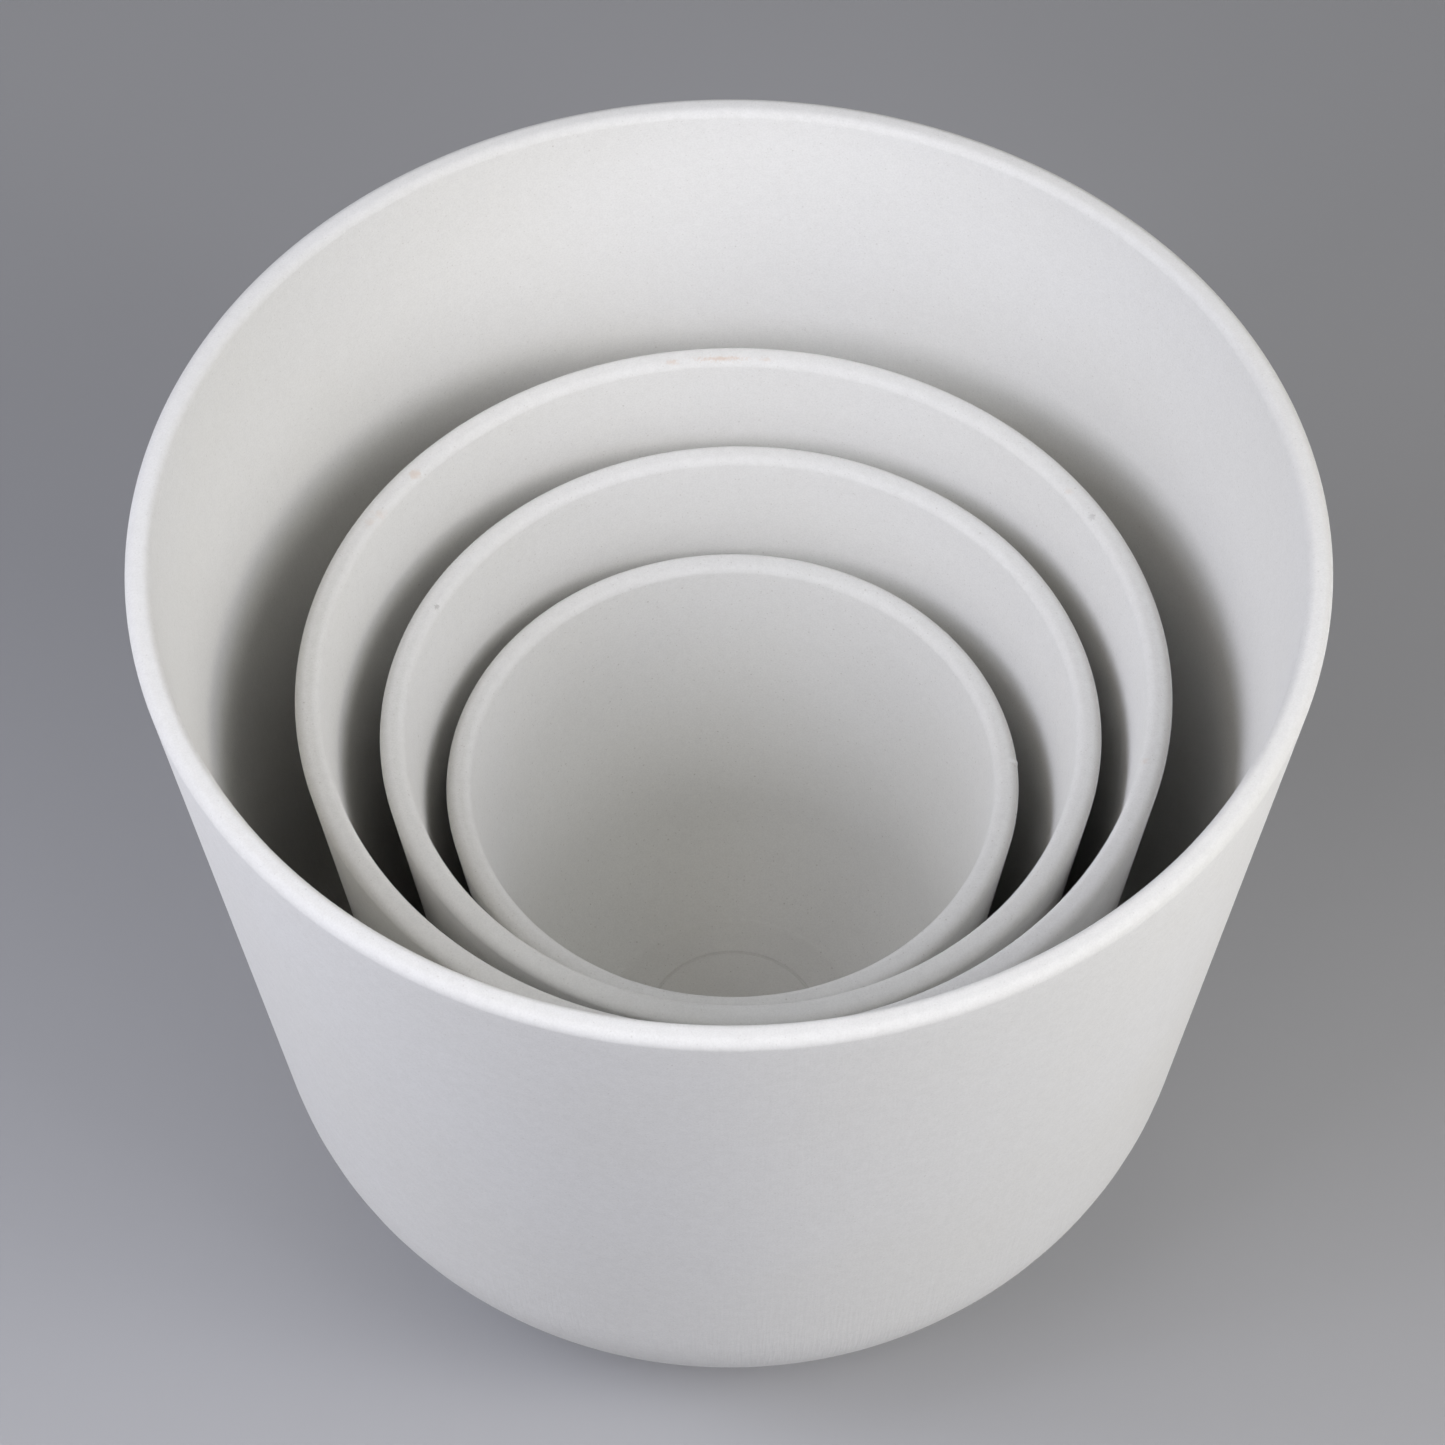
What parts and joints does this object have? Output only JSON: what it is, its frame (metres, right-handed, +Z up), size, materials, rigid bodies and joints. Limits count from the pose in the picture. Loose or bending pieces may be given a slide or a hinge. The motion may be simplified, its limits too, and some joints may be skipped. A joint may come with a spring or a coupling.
{
  "type": "nested crucible set",
  "caption": "Nested set of open white crucibles with tapered walls, rounded heels and flat undersides; each stands loose inside the next larger one and lifts out.",
  "frame": {"origin": "centre of the underside of the largest crucible", "axes": "+Z up along its axis, out of the open mouth; +X to the right and +Y away from a viewer facing the set"},
  "size_m": [0.4064, 0.4064, 0.336],
  "materials": {
    "outer_ceramic": "unglazed matte white with a fine sandy grain",
    "stained_ceramic": "unglazed matte white, faint tan staining on the rim",
    "inner_ceramic": "unglazed matte white with fine grey specks"
  },
  "bodies": {
    "largest": {"crucible_16_inch": "outer_ceramic"},
    "second": {"crucible_12_inch": "stained_ceramic"},
    "third": {"crucible_10_inch": "inner_ceramic"},
    "smallest": {"crucible_8_inch": "inner_ceramic"}
  },
  "joints": [
    {"name": "lift_12_inch", "type": "slide", "parent": "largest", "child": "second", "axis": [0, 0, 1], "range_m": [0, 0.335]},
    {"name": "lift_10_inch", "type": "slide", "parent": "second", "child": "third", "axis": [0, 0, 1], "range_m": [0, 0.326]},
    {"name": "lift_8_inch", "type": "slide", "parent": "third", "child": "smallest", "axis": [0, 0, 1], "range_m": [0, 0.318]}
  ]
}
